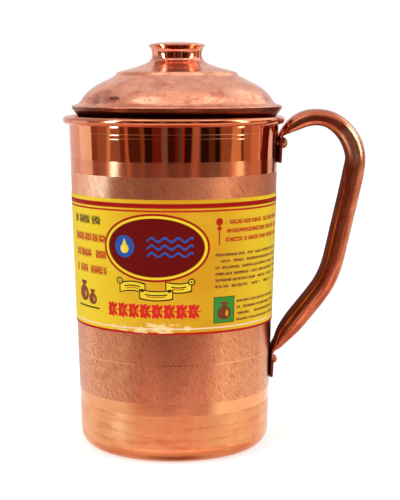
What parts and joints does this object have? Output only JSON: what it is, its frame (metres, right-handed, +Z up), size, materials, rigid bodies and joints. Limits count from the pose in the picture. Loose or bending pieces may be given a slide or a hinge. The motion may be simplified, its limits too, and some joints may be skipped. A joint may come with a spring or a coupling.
{
  "type": "copper water jug",
  "caption": "Spun copper water jug with a hollow riveted side handle, a printed paper wrap and a lift-off domed lid with a knob, for storing and pouring drinking water.",
  "frame": {"origin": "centre of the flat base, on the axis of the jug, at the surface it stands on", "axes": "+Z up along the axis of the jug, +X towards the handle, -Y towards the front of the printed wrap"},
  "size_m": [0.1565, 0.1144, 0.2096],
  "materials": {
    "copper_body": "satin",
    "copper_handle": "polished",
    "copper_lid": "polished",
    "paper_wrap": "satin"
  },
  "bodies": {
    "jug": {"jug_body": "copper_body", "label": "paper_wrap", "handle": "copper_handle", "upper_rivet_front": "copper_handle", "upper_rivet_rear": "copper_handle", "lower_rivet": "copper_handle"},
    "lid": {"lid_dome": "copper_lid", "lid_plug": "copper_lid", "knob_cap": "copper_lid"}
  },
  "joints": [
    {"name": "lid_lift", "type": "slide", "parent": "jug", "child": "lid", "axis": [0, 0, 1], "range_m": [0, 0.12]}
  ]
}
